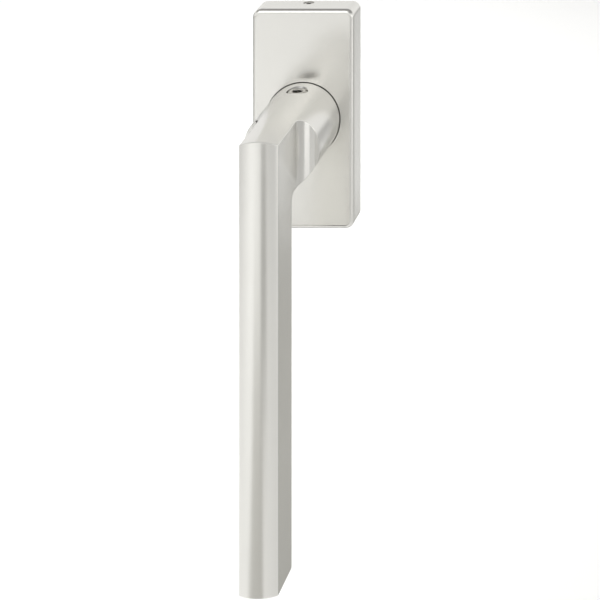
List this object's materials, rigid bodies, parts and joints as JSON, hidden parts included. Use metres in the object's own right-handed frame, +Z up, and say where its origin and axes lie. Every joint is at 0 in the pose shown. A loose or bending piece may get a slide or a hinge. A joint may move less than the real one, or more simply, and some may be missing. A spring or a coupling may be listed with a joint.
{
  "type": "tilt turn window handle",
  "caption": "Tilt and turn window handle: straight lever with a round neck on a rectangular rosette, with click mechanism, square spindle and fixing screws.",
  "frame": {"origin": "the spindle's axis at the face of the window frame", "axes": "+Y into the window frame along the spindle, +X to the right as seen by the person, +Z up; the lever hangs down along -Z"},
  "size_m": [0.031, 0.1005, 0.152],
  "materials": {
    "anodised_aluminium": "satin natural anodised",
    "zinc_die_casting": "as cast zinc alloy, tumbled",
    "zinc_plated_steel": "bright zinc plated",
    "stainless_steel": "plain stainless",
    "spring_steel": "oiled spring steel",
    "polyamide": "moulded, natural grey"
  },
  "bodies": {
    "rosette": {"base_plate": "zinc_die_casting", "back_plate": "zinc_plated_steel", "bearing_bush": "polyamide", "back_plate_screw_upper_left": "zinc_plated_steel", "back_plate_screw_upper_right": "zinc_plated_steel", "back_plate_screw_lower_left": "zinc_plated_steel", "back_plate_screw_lower_right": "zinc_plated_steel", "detent_spring_left": "spring_steel", "detent_spring_right": "spring_steel", "upper_fixing_screw": "zinc_plated_steel", "lower_fixing_screw": "zinc_plated_steel", "upper_support_sleeve": "polyamide", "lower_support_sleeve": "polyamide"},
    "cover": {"rosette_cover": "anodised_aluminium", "cover_set_screw": "stainless_steel", "cover_guide_ring": "polyamide"},
    "lever": {"handle_lever": "anodised_aluminium", "neck_grub_screw": "stainless_steel", "square_spindle": "zinc_plated_steel", "detent_cam": "spring_steel", "wave_washer": "spring_steel", "retaining_ring": "spring_steel"}
  },
  "joints": [
    {"name": "lever_turn", "type": "hinge", "parent": "rosette", "child": "lever", "pos_m": [0, 0, 0], "axis": [0, 1, 0], "range_deg": [0, 180], "deforming": ["detent_spring_left", "detent_spring_right"]},
    {"name": "cover_slide", "type": "slide", "parent": "rosette", "child": "cover", "axis": [0, -1, 0], "range_m": [0, 0.012]}
  ]
}
